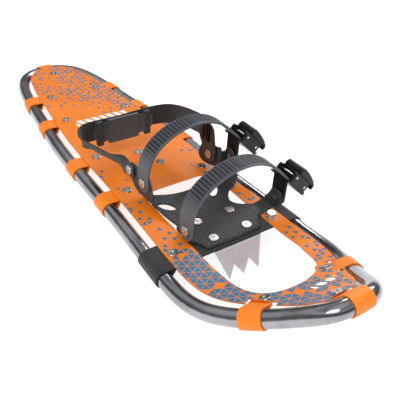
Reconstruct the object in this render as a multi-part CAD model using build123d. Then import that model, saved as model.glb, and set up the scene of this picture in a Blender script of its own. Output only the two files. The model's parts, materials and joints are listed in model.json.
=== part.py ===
from build123d import *
from math import acos, atan2, cos, degrees, hypot, radians, sin
import os

# A snowshoe for the left foot: bent tube frame, plastic deck and a hinged binding.
#
# Frame of the part, in millimetres: the toe points to -Y and the tail to +Y, +X is the
# outer side that carries the ratchet buckles, +Z is up. Shapes are drawn from a point on
# the tube's centre plane, halfway between the side tubes. The written parts have their
# origin at the centre of the tread pad's top, where the ball of the boot rests.

# ---------------------------------------------------------------- driving dimensions
# Frame tube
TUBE_RADIUS = 9.5
TUBE_WALL = 1.3
TAIL_Y = 550.0
NOSE_Y = -195.0
TAIL_ARC_RADIUS = 56.0
TAIL_ARC_SWEEP = 65.0
# Half outline of the tube's centre line, from the end of the tail arc to the nose
SIDE_SHAPE = [(67.5, 448), (76.5, 367), (84.5, 285), (88, 130), (94, -25), (88.5, -90), (72, -126), (55, -153),
              (37, -179)]
TOE_STEPS = 10
OUTLINE_STEPS = 32
# Upturned toe: height grows with the square of the distance, then runs straight
LIFT_START_Y = -30.0
LIFT_RATE = 0.00259
LIFT_SLOPE = 0.75

# Deck sheet
DECK_THICK = 1.5
DECK_INSET = 12.5
NOSE_CUT = 14.5
DECK_FOLLOW = 0.93
HOLE_CENTRE_X = 5.5
HOLE_HALF_WIDTH = 52.5
HOLE_REAR_Y = 112.0
HOLE_REAR_RADIUS = 22.0
# Front edge of the toe hole, from its left side round the toe to its right side
HOLE_FRONT = [(-46.5, -93), (-40, -112), (-28, -123), (-10, -128), (12, -127), (31, -119.5), (46, -104),
              (55.5, -75)]
HOLE_SIDE_Y = -50.0

# Strips that tie the deck to the tube, and the pivot strap
STRIP_THICK = 1.5
STRIP_GAP = 0.15
STRIP_WIDTH = 24.0
STRIP_MEET = 15.0
SIDE_WRAP_Y = [425.0, 341.0, 220.0, 129.0]
TOE_WRAP_Y = -136.0
RIVET_REACH = 30.0
TOE_RIVET_REACH = 27.0
TAIL_RIVET_REACH = 44.0
NOSE_RIVET_REACH = 28.5
STRIP_END = 8.0
PIVOT_Y = -2.0
PIVOT_WIDTH = 42.0
PIVOT_RIVET_REACH = 21.2
PIVOT_STRAP_END = 34.0

# Fasteners
HEAD_RADIUS = 6.2
HEAD_HEIGHT = 1.6
DIMPLE_RADIUS = 2.0
DIMPLE_DEPTH = 0.8
SHANK_RADIUS = 2.0
SHANK_CLEARANCE = 0.06
TAIL_HEAD_RADIUS = 3.4
WASHER_RADIUS = 6.0
PIVOT_WASHER_RADIUS = 5.0
WASHER_THICK = 1.0
TOUCH_GAP = 0.1
TOE_GAP = 1.1
NOTCH_GAP = 2.9
NOTCH_DEPTH = 3.0

# Binding
PLATE_CENTRE_X = 4.0
PLATE_HALF_WIDTH = 41.0
PLATE_FRONT_Y = -19.0
PLATE_REAR_Y = 34.0
HARNESS_THICK = 3.0
HARNESS_BOTTOM = 13.2
WING_LEFT_X = -54.0
WING_RIGHT_X = 75.0
WING_BEND = 15.5
PLATE_CORNER_RADIUS = 12.0
# Outline of the waist, which joins the toe plate to the rear wings
WAIST_SHAPE = [(-36, 20), (-43, 34), (-47, 52), (-49, 72), (-40, 88), (4, 90), (50, 88), (56, 76), (47, 58),
               (40, 38), (40, 20), (4, 14)]
WINDOW_X = 33.0
WINDOW_Y = 70.0
WINDOW_SIZE = (9.0, 20.0)
WINDOW_TURN = 22.0
TREAD_Y = 60.0
TREAD_SIZE = (40.0, 36.0)
TREAD_HEIGHT = 0.8
# The rear edge curves in round the boot's heel
HEEL_EDGE_Y = 95.0
HEEL_EDGE_RADIUS = 80.0
FRONT_AXIS = (-4.0, 39.0)
REAR_AXIS = (90.0, 46.0)
LUG_RADIUS = 11.0
HEEL_LEFT = (-54.0, 122.0, 47.0)
HEEL_RIGHT = (62.5, 117.0, 38.0)
EAR_RADIUS = 9.0
# Wings and ears seen from the side, as (Y, Z)
FRONT_WING = [(2.5, 12), (24, 12), (17, 24), (7, 39), (-15, 39), (-12, 28), (-2.5, 18)]
REAR_WING = [(66, 12), (108, 12), (112, 24), (101, 46), (79, 46), (72, 26)]
LEFT_EAR = [(90, 26), (112, 22), (128, 40), (122, 56), (101, 46)]
RIGHT_EAR = [(99, 26), (112, 26), (125, 34), (117, 47), (99, 50)]
FRONT_BAND = (-20.0, 40.0)
REAR_BAND = (60.0, 140.0)
EAR_STEP_Y = (98.0, 101.0)
EAR_STEP_Z = (26.0, 50.0)
PLATE_RIVET_X = 24.0
PLATE_RIVET_Y = [-8.0, 26.0]

# Ladder strap loops, seen along Y: half circle, then a straight run through the buckle
LOOP_CENTRE_X = 12.0
LADDER_THICK = 3.0
LADDER_WIDTH = 24.0
SIDE_GAP = 0.3
LOOP_END_ANGLE = 45.0
# The left side rises straight past the wing, then bends in two arcs to the top
LOOP_STRAIGHT = 12.0
LOOP_SIDE_RADIUS = 50.0
LADDER_RUN = 70.0
BUCKLE_PLACE = 20.0

# Ratchet buckle, measured along the strap, across it and outward from its middle plane
BASE_HALF_WIDTH = 15.5
BASE_START = 2.0
BASE_END = 44.0
FLOOR_THICK = 2.2
WALL_INNER = 12.4
WALL_TOP = 12.0
WALL_SPAN = (7.0, 41.0)
ARM_HEIGHT = 27.0
LEVER_PIVOT = (12.0, 7.5)
LEVER_END = 50.0
DRIVE_PIVOT = (18.5, 5.4)
HOLD_PIVOT = (36.0, 5.0)
PIN_RADIUS = 1.5
RUNNING_CLEARANCE = 0.06

# Crampons
STEEL_THICK = 2.0
CRAMPON_CENTRE_X = 5.0
CRAMPON_FRONT_Y = -24.0
CRAMPON_HALF_WIDTH = 33.0
FRONT_TOOTH_LENGTH = 37.0
FRONT_TOOTH_LEAN = 26.0
HEEL_CRAMPON_Y = (158.0, 212.0)
HEEL_RIVETS = [(0.0, 203.5), (-14.0, 166.0), (14.0, 166.0)]

# Heel strap
WEB_THICK = 2.0
WEB_WIDTH = 25.0
PAD_THICK = 6.0
PAD_HEIGHT = 34.0
LOCK_THICK = 2.0
LOCK_GAP = 0.4

# ---------------------------------------------------------------- derived sizes
STRIP_INNER = TUBE_RADIUS + STRIP_GAP
STRIP_TOP = STRIP_INNER + STRIP_THICK
DECK_BOTTOM = STRIP_TOP + TOUCH_GAP
DECK_TOP = DECK_BOTTOM + DECK_THICK
PLATE_BOTTOM = STRIP_TOP + TOUCH_GAP / 2
HARNESS_TOP = HARNESS_BOTTOM + HARNESS_THICK
TREAD_TOP = (PLATE_CENTRE_X, TREAD_Y, HARNESS_TOP + TREAD_HEIGHT)
PIVOT_SPAN = (PIVOT_Y - PIVOT_WIDTH / 2, PIVOT_Y + PIVOT_WIDTH / 2)
WIDEST_X = max(x for x, _ in SIDE_SHAPE)
CLAMP_LEFT = PLATE_CENTRE_X - PLATE_HALF_WIDTH
CLAMP_RIGHT = PLATE_CENTRE_X + PLATE_HALF_WIDTH
LOOP_RADIUS = LOOP_CENTRE_X - WING_LEFT_X + SIDE_GAP + LADDER_THICK / 2
HOLE_RADIUS = SHANK_RADIUS + SHANK_CLEARANCE
PIN_HOLE_RADIUS = PIN_RADIUS + RUNNING_CLEARANCE
CRAMPON_TOP = STRIP_INNER - TOUCH_GAP / 2
HEEL_AXIS = (Vector(*HEEL_RIGHT) - Vector(*HEEL_LEFT)).normalized()


# ---------------------------------------------------------------- small helpers
def save(part, name):
    """Write a part with the centre of the tread pad's top as its origin."""
    placed = Pos(*[-value for value in TREAD_TOP]) * part
    placed.label = name
    export_step(placed, f"parts/{name}.step")


def both_sides(part):
    """The part and its mirror image across the middle plane."""
    return part + mirror(part, about=Plane.YZ)


def block(x_span, y_span, z_span):
    size = [high - low for low, high in (x_span, y_span, z_span)]
    middle = [(high + low) / 2 for low, high in (x_span, y_span, z_span)]
    return Pos(*middle) * Box(*size)


def along_x(y_z_face, x_low, x_high):
    """Extrude a face drawn in (Y, Z) along X between two values."""
    plane = Plane(origin=(x_low, 0, 0), x_dir=(0, 1, 0), z_dir=(1, 0, 0))
    return extrude(plane * y_z_face, amount=x_high - x_low)


def along_y(x_z_face, y_low, y_high):
    """Extrude a face drawn in (X, Z) along Y between two values."""
    plane = Plane(origin=(0, y_high, 0), x_dir=(1, 0, 0), z_dir=(0, -1, 0))
    return extrude(plane * x_z_face, amount=y_high - y_low)


def rod_x(x_low, x_high, y, z, radius):
    return Pos((x_low + x_high) / 2, y, z) * Rot(0, 90, 0) * Cylinder(radius, x_high - x_low)


def polygon(points):
    return make_face(Polyline(*points, close=True))


def column(plane, low, high, radius):
    """Round column along a plane's normal, between two heights."""
    return plane * Pos(0, 0, (low + high) / 2) * Cylinder(radius, high - low)


def rivet(plane, top, bottom):
    """Rivet with a domed head above top and a flat formed end below bottom."""
    head = Pos(0, 0, top + HEAD_HEIGHT / 2) * Cylinder(HEAD_RADIUS, HEAD_HEIGHT)
    head = fillet(head.edges().group_by(Axis.Z)[-1], HEAD_HEIGHT * 0.6)
    dimple = Cone(DIMPLE_RADIUS / 2, DIMPLE_RADIUS, DIMPLE_DEPTH)
    head -= Pos(0, 0, top + HEAD_HEIGHT - DIMPLE_DEPTH / 2) * dimple
    shank = Pos(0, 0, (top + bottom) / 2) * Cylinder(SHANK_RADIUS, top - bottom)
    end = Pos(0, 0, bottom - WASHER_THICK / 2) * Cylinder(TAIL_HEAD_RADIUS, WASHER_THICK)
    return plane * (head + shank + end)


def washer(plane, top, radius=WASHER_RADIUS):
    ring = Cylinder(radius, WASHER_THICK) - Cylinder(HOLE_RADIUS, 2 * WASHER_THICK)
    return plane * Pos(0, 0, top - WASHER_THICK / 2) * ring


# ---------------------------------------------------------------- tube path
def lift(y):
    forward = max(LIFT_START_Y - y, 0.0)
    bend = LIFT_SLOPE / (2 * LIFT_RATE)
    curved = min(forward, bend)
    return LIFT_RATE * curved ** 2 + LIFT_SLOPE * (forward - curved)


def lift_slope(y):
    """How fast the surface rises towards the toe."""
    return min(2 * LIFT_RATE * max(LIFT_START_Y - y, 0.0), LIFT_SLOPE)


def place_at(edge, y, last=1.0):
    """Place on an edge, from 0 to last, where it passes y on its way to the toe."""
    low, high = 0.0, last
    for _ in range(40):
        middle = (low + high) / 2
        if (edge @ middle).Y > y:
            low = middle
        else:
            high = middle
    return low


def toe_path():
    """Lifted centre line of the toe, from the right side through the nose to the left."""
    right = []
    for step in range(TOE_STEPS + 1):
        point = SIDE_PLAN @ (LIFT_PLACE + (1 - LIFT_PLACE) * step / TOE_STEPS)
        right.append((point.X, point.Y, lift(point.Y)))
    left = [(-x, y, z) for x, y, z in reversed(right[:-1])]
    return Spline(*right, *left)


TAIL_CENTRE = (0, TAIL_Y - TAIL_ARC_RADIUS)
TAIL_PATH = CenterArc(TAIL_CENTRE, TAIL_ARC_RADIUS, 90 + TAIL_ARC_SWEEP, -2 * TAIL_ARC_SWEEP)
SIDE_PLAN = Spline(TAIL_PATH @ 1, *SIDE_SHAPE, (0, NOSE_Y), tangents=(TAIL_PATH % 1, (-1, 0)))
LIFT_PLACE = place_at(SIDE_PLAN, LIFT_START_Y)
SIDE_PATH = SIDE_PLAN.trim(0, LIFT_PLACE)
TOE_PATH = toe_path()


def tube_plane(edge, place):
    """Plane across the tube: local x points inward over the deck, local y up."""
    point = edge @ place
    along = edge % place
    up = Vector(0, lift_slope(point.Y), 1).normalized()
    inward = along.cross(up).normalized()
    return Plane(origin=point, x_dir=inward, z_dir=-along)


def deck_plane(x, y):
    """Plane on the deck's underside, with its normal up."""
    slope = DECK_FOLLOW * lift_slope(y)
    height = DECK_FOLLOW * lift(y) + DECK_BOTTOM
    return Plane(origin=(x, y, height), x_dir=(1, 0, 0), z_dir=(0, slope, 1))


# ---------------------------------------------------------------- frame pieces
def round_bar(radius):
    """Solid bar along the whole closed loop of the frame."""
    side = Wire(TAIL_PATH.edges() + SIDE_PATH.edges())
    toe = Wire(TOE_PATH.edges())
    bars = []
    for path in (side, toe):
        bars.append(sweep(Plane(origin=path @ 0, z_dir=path % 0) * Circle(radius), path=path))
    return bars[0] + mirror(bars[0], about=Plane.YZ) + bars[1]


def frame_tube():
    tube = round_bar(TUBE_RADIUS) - round_bar(TUBE_RADIUS - TUBE_WALL)
    for cut in splice_places():
        tube -= cut
    return tube


SPLICE_HALF_ANGLE = 27.0
SPLICE_RIVET_ANGLE = 19.0
SPLICE_WALL = 1.2


def splice_frame(angle):
    """Plane on the tail arc, seen from below, at an angle from the tail's middle."""
    turn = radians(90 - angle)
    centre_y = TAIL_Y - TAIL_ARC_RADIUS
    spot = (TAIL_ARC_RADIUS * cos(turn), centre_y + TAIL_ARC_RADIUS * sin(turn), 0)
    return Plane(origin=spot, x_dir=(1, 0, 0), z_dir=(0, 0, -1))


def splice_places():
    """Rivet holes through the bottom wall of the tube and its sleeve."""
    deep = TUBE_RADIUS - TUBE_WALL - 2 * SPLICE_WALL
    return [column(splice_frame(a), deep, TUBE_RADIUS + 1, HOLE_RADIUS)
            for a in (-SPLICE_RIVET_ANGLE, SPLICE_RIVET_ANGLE)]


def tail_sleeve():
    """Curved sleeve inside the tail, where the two ends of the tube meet."""
    outer = TUBE_RADIUS - TUBE_WALL - TOUCH_GAP
    ring = Circle(outer) - Circle(outer - SPLICE_WALL)
    centre = (0, TAIL_Y - TAIL_ARC_RADIUS)
    arc = CenterArc(centre, TAIL_ARC_RADIUS, 90 - SPLICE_HALF_ANGLE, 2 * SPLICE_HALF_ANGLE)
    sleeve = sweep(Plane(origin=arc @ 0, z_dir=arc % 0) * ring, path=arc)
    for cut in splice_places():
        sleeve -= cut
    return sleeve


def splice_rivets():
    inside = TUBE_RADIUS - TUBE_WALL - 2 * SPLICE_WALL
    pieces = []
    for angle in (-SPLICE_RIVET_ANGLE, SPLICE_RIVET_ANGLE):
        plane = splice_frame(angle)
        shank = column(plane, inside + 0.5, TUBE_RADIUS + TOUCH_GAP, SHANK_RADIUS)
        head = column(plane, TUBE_RADIUS + TOUCH_GAP, TUBE_RADIUS + 1.0, HEAD_RADIUS - 1.5)
        pieces.append(shank + head)
    return Compound(children=pieces)


def strip_loop(radius, tip_x, tip_y):
    """Outline that goes round a circle and closes at a tip beside it."""
    reach = hypot(tip_x, tip_y)
    aim = atan2(tip_y, tip_x)
    spread = acos(radius / reach)

    def on_circle(angle):
        return (radius * cos(angle), radius * sin(angle))

    top = on_circle(aim + spread)
    bottom = on_circle(aim - spread)
    far = on_circle(aim + radians(180))
    return make_face(Curve() + [Line((tip_x, tip_y), top), ThreePointArc(top, far, bottom),
                                Line(bottom, (tip_x, tip_y))])


def strip_section(end, drop=0.0):
    """Section of a strip round the tube whose two ends lie flat together under the deck."""
    level = STRIP_INNER - drop
    inner = strip_loop(STRIP_INNER, STRIP_MEET + drop, level)
    outer = offset(inner, amount=STRIP_THICK, kind=Kind.INTERSECTION)
    keep = Pos(0, 0) * Rectangle(2 * (STRIP_MEET + drop + 4), 4 * TUBE_RADIUS)
    tongue_start = STRIP_MEET + drop - 1
    tongue = Pos((tongue_start + end) / 2, level) * Rectangle(end - tongue_start, 2 * STRIP_THICK)
    return (outer & keep) - inner + tongue - inner


def swept_strip(edge, place, width, end, drop=0.0):
    """Sweep the strip's section along the arc that fits a short part of the tube's path."""
    half = width / 2 / edge.length
    path = ThreePointArc(edge @ (place - half), edge @ place, edge @ (place + half))
    return sweep(tube_plane(path, 0) * strip_section(end, drop), path=path)


def deck_drop(y):
    """How far the deck's underside lies below the level it has over the flat part of the tube."""
    height = DECK_BOTTOM - (1 - DECK_FOLLOW) * lift(y)
    return DECK_BOTTOM - height / hypot(1, lift_slope(y))


def wrap_list():
    """Each wrap as (edge, place, rivet reach, drop, whether it has a mirror image)."""
    wraps = [(TAIL_PATH, 0.5, TAIL_RIVET_REACH, 0.0, False)]
    wraps += [(SIDE_PATH, place_at(SIDE_PATH, y), RIVET_REACH, 0.0, True) for y in SIDE_WRAP_Y]
    toe_place = place_at(TOE_PATH, TOE_WRAP_Y, 0.5)
    for place, reach, has_mirror in ((toe_place, TOE_RIVET_REACH, True), (0.5, NOSE_RIVET_REACH, False)):
        drop = deck_drop(wrap_rivet_plane(TOE_PATH, place, reach).origin.Y) + TOE_GAP
        wraps.append((TOE_PATH, place, reach, drop, has_mirror))
    return wraps


def wrap_rivet_plane(edge, place, reach):
    """Where a wrap's rivet goes through the deck."""
    plane = tube_plane(edge, place)
    spot = plane.origin + plane.x_dir * reach
    return deck_plane(spot.X, spot.Y)


def wrap_notch(edge, place, drop):
    """Notch in the deck's edge that lets a toe wrap through, seen from above."""
    plane = tube_plane(edge, place)
    inward = Vector(plane.x_dir.X, plane.x_dir.Y, 0)
    reach = (STRIP_MEET + drop + NOTCH_DEPTH) * inward.length
    flat = Plane(origin=(plane.origin.X, plane.origin.Y, 0), x_dir=inward, z_dir=(0, 0, 1))
    return flat * Rectangle(2 * reach, STRIP_WIDTH + 2 * NOTCH_GAP)


def deck_wraps():
    pieces = []
    for edge, place, reach, drop, has_mirror in wrap_list():
        strip = swept_strip(edge, place, STRIP_WIDTH, reach + STRIP_END, drop)
        strip -= column(wrap_rivet_plane(edge, place, reach), -20, 20, HOLE_RADIUS + drop / 4)
        pieces.append(strip)
        if has_mirror:
            pieces.append(mirror(strip, about=Plane.YZ))
    return Compound(children=pieces)


def wrap_hardware():
    """Rivets and washers of the wraps, one of each for every wrap."""
    rivets = []
    washers = []
    for edge, place, reach, drop, has_mirror in wrap_list():
        plane = wrap_rivet_plane(edge, place, reach)
        slack = TOE_GAP if drop else 0.0
        top = DECK_THICK + (TOUCH_GAP if drop else 0.0)
        under = -TOUCH_GAP - 2 * STRIP_THICK - 3 * slack
        one_rivet = rivet(plane, top, under - WASHER_THICK)
        one_washer = washer(plane, under)
        rivets.append(one_rivet)
        washers.append(one_washer)
        if has_mirror:
            rivets.append(mirror(one_rivet, about=Plane.YZ))
            washers.append(mirror(one_washer, about=Plane.YZ))
    return Compound(children=rivets), Compound(children=washers)


def pivot_rivet_planes():
    plane = tube_plane(SIDE_PATH, place_at(SIDE_PATH, PIVOT_Y))
    spot = plane.origin + plane.x_dir * PIVOT_RIVET_REACH
    return [deck_plane(side * spot.X, spot.Y) for side in (1, -1)]


def deck_outline():
    """Flat outline of the deck, a constant distance inside the tube's centre line."""
    tail = CenterArc(TAIL_CENTRE, TAIL_ARC_RADIUS - DECK_INSET, 90 + TAIL_ARC_SWEEP, -2 * TAIL_ARC_SWEEP)
    inset = []
    for step in range(1, OUTLINE_STEPS):
        place = step / OUTLINE_STEPS
        inset.append(SIDE_PLAN @ place + (SIDE_PLAN % place).cross(Vector(0, 0, 1)) * DECK_INSET)
    side = Spline(tail @ 1, *inset, (0, NOSE_Y + DECK_INSET), tangents=(tail % 1, (-1, 0)))
    return make_face(tail.edges() + side.edges() + mirror(side, about=Plane.YZ).edges())


def deck_profile():
    """Side view of the deck sheet, (Y, Z), from tail to toe."""
    flat_end = [(TAIL_Y, DECK_BOTTOM), (LIFT_START_Y, DECK_BOTTOM)]
    lower = []
    upper = []
    steps = 16
    for step in range(steps + 1):
        y = LIFT_START_Y + (NOSE_Y - LIFT_START_Y) * step / steps
        plane = deck_plane(0, y)
        top = plane.origin + plane.z_dir * DECK_THICK
        lower.append((y, plane.origin.Z))
        upper.append((top.Y, top.Z))
    start = (-1, 0)
    finish = (-1, DECK_FOLLOW * LIFT_SLOPE)
    under = Spline(*lower, tangents=(start, finish))
    over = Spline(*upper, tangents=(start, finish))
    edges = [Line(*flat_end), under, Line(lower[-1], upper[-1]), over,
             Line(upper[0], (TAIL_Y, DECK_TOP)), Line((TAIL_Y, DECK_TOP), flat_end[0])]
    return make_face(Curve() + edges)


def toe_hole():
    """Outline of the hole that the toe and the crampon dip through."""
    left = HOLE_CENTRE_X - HOLE_HALF_WIDTH
    right = HOLE_CENTRE_X + HOLE_HALF_WIDTH
    middle_y = (HOLE_REAR_Y + HOLE_SIDE_Y) / 2
    body = Pos(HOLE_CENTRE_X, middle_y) * Rectangle(right - left, HOLE_REAR_Y - HOLE_SIDE_Y)
    body = fillet(body.vertices().group_by(Axis.Y)[-1], HOLE_REAR_RADIUS)
    front = Spline((left, HOLE_SIDE_Y), *HOLE_FRONT, (right, HOLE_SIDE_Y), tangents=((0, -1), (0, 1)))
    return body + make_face(front.edges() + Line(front @ 1, front @ 0).edges())


def deck():
    top = lift(NOSE_Y) + DECK_TOP + DECK_THICK
    sheet = along_x(deck_profile(), -WIDEST_X, WIDEST_X)
    sheet &= extrude(deck_outline(), amount=top)
    sheet -= extrude(toe_hole(), amount=top)
    sheet -= block((-WIDEST_X, WIDEST_X), (NOSE_Y, NOSE_Y + NOSE_CUT), (0, top))
    planes = pivot_rivet_planes() + [deck_plane(x, y) for x, y in HEEL_RIVETS]
    for edge, place, reach, drop, has_mirror in wrap_list():
        plane = wrap_rivet_plane(edge, place, reach)
        planes.append(plane)
        if drop:
            notch = extrude(wrap_notch(edge, place, drop), amount=top)
            sheet -= both_sides(notch) if has_mirror else notch
        if has_mirror:
            planes.append(deck_plane(-plane.origin.X, plane.origin.Y))
    for plane in planes:
        sheet -= column(plane, -2 * DECK_THICK, 3 * DECK_THICK, HOLE_RADIUS)
    return sheet


# ---------------------------------------------------------------- pivot strap
def pivot_strap_side():
    """The right end of the pivot strap: round the tube, under the deck, up to the clamp."""
    middle = place_at(SIDE_PATH, PIVOT_Y)
    strap = swept_strip(SIDE_PATH, middle, PIVOT_WIDTH, PIVOT_STRAP_END)
    tube_x = (SIDE_PATH @ middle).X
    outer_end = tube_x - PIVOT_STRAP_END + STRIP_END
    band = block((CLAMP_RIGHT + 1, outer_end), PIVOT_SPAN, (STRIP_INNER, STRIP_TOP))
    return strap + band - column(pivot_rivet_planes()[0], -20, 20, HOLE_RADIUS)


def pivot_strap_left():
    left = mirror(pivot_strap_side(), about=Plane.YZ)
    spare = PLATE_CENTRE_X * 2
    longer = block((-CLAMP_RIGHT - 2, -CLAMP_RIGHT + spare - 1), PIVOT_SPAN, (STRIP_INNER, STRIP_TOP))
    return left + longer


def pivot_strap_center():
    band = block((CLAMP_LEFT, CLAMP_RIGHT), PIVOT_SPAN, (STRIP_INNER, STRIP_TOP))
    for plane in plate_rivet_planes():
        band -= column(plane, -10, 10, HOLE_RADIUS)
    return band


def pivot_hardware():
    under = -TOUCH_GAP - 2 * STRIP_THICK
    planes = pivot_rivet_planes()
    rivets = [rivet(plane, DECK_THICK, under - WASHER_THICK) for plane in planes]
    washers = [washer(plane, under, PIVOT_WASHER_RADIUS) for plane in planes]
    return Compound(children=rivets), Compound(children=washers)


# ---------------------------------------------------------------- crampons
def toothed_blade(length, root, depth, teeth):
    """Flat blade outline with its top edge on y = 0 and teeth pointing to -y."""
    pitch = length / teeth
    points = [(-length / 2, 0)]
    for tooth in range(teeth):
        left = -length / 2 + tooth * pitch
        points.append((left + pitch * 0.06, -root))
        points.append((left + pitch * 0.5, -depth))
        points.append((left + pitch * 0.94, -root))
    points.append((length / 2, 0))
    return polygon(points)


def toe_crampon():
    top = CRAMPON_TOP
    low = top - STEEL_THICK
    left = CRAMPON_CENTRE_X - CRAMPON_HALF_WIDTH
    right = CRAMPON_CENTRE_X + CRAMPON_HALF_WIDTH
    front = CRAMPON_FRONT_Y
    plate = block((left, right), (front, PLATE_REAR_Y - 1), (low, top))
    lean = radians(FRONT_TOOTH_LEAN)
    along = FRONT_TOOTH_LENGTH
    half = CRAMPON_HALF_WIDTH
    outline = [(-half, 1), (-half + 3, -8), (-half * 0.62, -along), (-half * 0.33, -along * 0.55),
               (0, -along), (half * 0.33, -along * 0.55), (half * 0.66, -along), (half, 1)]
    blade_plane = Plane(origin=(CRAMPON_CENTRE_X, front + STEEL_THICK, low), x_dir=(1, 0, 0),
                        z_dir=(0, -cos(lean), sin(lean)))
    crampon = plate + extrude(blade_plane * polygon(outline), amount=STEEL_THICK)
    for x_low in (left, right - STEEL_THICK):
        blade = Pos(PLATE_REAR_Y / 2, low + 1) * toothed_blade(PLATE_REAR_Y - 6, 12, 27, 2)
        crampon += along_x(blade, x_low, x_low + STEEL_THICK)
    for plane in plate_rivet_planes():
        crampon -= column(plane, -10, 10, HOLE_RADIUS)
    return crampon


def heel_crampon():
    """Plate under the heel with two toothed blades in a V."""
    rear, length = HEEL_CRAMPON_Y[1], HEEL_CRAMPON_Y[1] - HEEL_CRAMPON_Y[0]
    top = DECK_BOTTOM - TOUCH_GAP
    low = top - STEEL_THICK
    front = HEEL_CRAMPON_Y[0]
    wide, narrow = 32.0, 17.0
    plate = extrude(Pos(0, 0, low) * polygon([(-wide, front), (wide, front), (narrow, rear), (-narrow, rear)]),
                    amount=STEEL_THICK)
    lean = degrees(atan2(wide - narrow, length))
    blade_face = Pos(0, low + 1) * toothed_blade(length, 9, 25, 4)
    blade = along_x(blade_face, -STEEL_THICK, 0)
    right = Pos((wide + narrow) / 2, (front + rear) / 2, 0) * Rot(0, 0, lean) * blade
    crampon = plate + both_sides(right)
    for x, y in HEEL_RIVETS:
        crampon -= column(deck_plane(x, y), -10, 10, HOLE_RADIUS)
    return crampon


def heel_crampon_rivets():
    under = -TOUCH_GAP - STEEL_THICK
    return Compound(children=[rivet(deck_plane(x, y), DECK_THICK, under) for x, y in HEEL_RIVETS])


# ---------------------------------------------------------------- binding
def plate_rivet_planes():
    return [Plane(origin=(PLATE_CENTRE_X + side * PLATE_RIVET_X, y, HARNESS_TOP), z_dir=(0, 0, 1))
            for y in PLATE_RIVET_Y for side in (-1, 1)]


def toe_plate_rivets():
    grip = HARNESS_TOP - CRAMPON_TOP + STEEL_THICK
    return Compound(children=[rivet(plane, 0, -grip) for plane in plate_rivet_planes()])


def wing_band(y_low, y_high):
    """U-shaped band under the foot: flat middle, round corners, upright sides."""
    middle = HARNESS_BOTTOM + HARNESS_THICK / 2
    left = WING_LEFT_X + HARNESS_THICK / 2
    right = WING_RIGHT_X - HARNESS_THICK / 2
    bend = WING_BEND - HARNESS_THICK / 2
    top = REAR_AXIS[1] + 2 * LUG_RADIUS
    line = Curve() + [
        Line((left, top), (left, middle + bend)),
        ThreePointArc((left, middle + bend), (left + bend * (1 - cos(radians(45))),
                                              middle + bend * (1 - sin(radians(45)))), (left + bend, middle)),
        Line((left + bend, middle), (right - bend, middle)),
        ThreePointArc((right - bend, middle), (right - bend * (1 - cos(radians(45))),
                                               middle + bend * (1 - sin(radians(45)))), (right, middle + bend)),
        Line((right, middle + bend), (right, top)),
    ]
    return along_y(trace(line, line_width=HARNESS_THICK), y_low, y_high)


def disc(centre, radius):
    return Pos(*centre) * Circle(radius)


def front_wings():
    """The pair of wings beside the toe plate and the band that joins them under the foot."""
    side = polygon(FRONT_WING) + disc(FRONT_AXIS, LUG_RADIUS)
    return wing_band(*FRONT_BAND) & along_x(side, WING_LEFT_X, WING_RIGHT_X)


def rear_wings():
    """The rear pair: both carry the rear loop, and an ear each for the heel strap."""
    right = polygon(REAR_WING) + disc(REAR_AXIS, LUG_RADIUS)
    left = right + polygon(LEFT_EAR) + disc(HEEL_LEFT[1:], EAR_RADIUS)
    band = wing_band(*REAR_BAND)
    wings = band & along_x(right, PLATE_CENTRE_X, WING_RIGHT_X)
    wings += band & along_x(left, WING_LEFT_X, PLATE_CENTRE_X)
    heel = Pos(PLATE_CENTRE_X, HEEL_EDGE_Y + HEEL_EDGE_RADIUS, HARNESS_BOTTOM) * Circle(HEEL_EDGE_RADIUS)
    return wings - extrude(heel, amount=HARNESS_THICK) + right_heel_ear()


def right_heel_ear():
    """Ear of the right rear wing, stepped inward to carry the heel strap."""
    x = HEEL_RIGHT[0]
    ear = along_x(polygon(RIGHT_EAR) + disc(HEEL_RIGHT[1:], EAR_RADIUS), x, x + HARNESS_THICK)
    return ear + block((x, WING_RIGHT_X), EAR_STEP_Y, EAR_STEP_Z)


def waist():
    """Flat web between the toe plate and the rear wings, with two windows and a tread pad."""
    web = extrude(Pos(0, 0, HARNESS_BOTTOM) * make_face(Spline(*WAIST_SHAPE, periodic=True)),
                  amount=HARNESS_THICK)
    for side in (-1, 1):
        window = Pos(side * WINDOW_X, WINDOW_Y, HARNESS_BOTTOM) * Rot(0, 0, side * WINDOW_TURN)
        web -= extrude(window * RectangleRounded(*WINDOW_SIZE, WINDOW_SIZE[0] * 0.45), amount=HARNESS_THICK)
    pad = Pos(PLATE_CENTRE_X, TREAD_Y, HARNESS_TOP) * RectangleRounded(*TREAD_SIZE, TREAD_SIZE[1] / 6)
    return web + extrude(pad, amount=TREAD_HEIGHT)


def harness():
    """Moulded foot harness: toe plate, four wings and a waist."""
    plate = block((CLAMP_LEFT, CLAMP_RIGHT), (PLATE_FRONT_Y, PLATE_REAR_Y), (PLATE_BOTTOM, HARNESS_TOP))
    plate = fillet(plate.edges().filter_by(Axis.Z).group_by(Axis.Y)[0], PLATE_CORNER_RADIUS)
    body = plate + front_wings() + rear_wings() + waist()
    for plane in plate_rivet_planes():
        body -= column(plane, -2 * HARNESS_THICK, HARNESS_THICK, HOLE_RADIUS)
    for y, z in (FRONT_AXIS, REAR_AXIS):
        body -= rod_x(WING_LEFT_X, WING_LEFT_X + HARNESS_THICK, y, z, HOLE_RADIUS)
        body -= rod_x(WING_RIGHT_X - HARNESS_THICK, WING_RIGHT_X, y, z, HOLE_RADIUS)
    for plane in heel_pivot_planes():
        body -= column(plane, -2 * HARNESS_THICK, HARNESS_THICK, HOLE_RADIUS)
    return body


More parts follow.
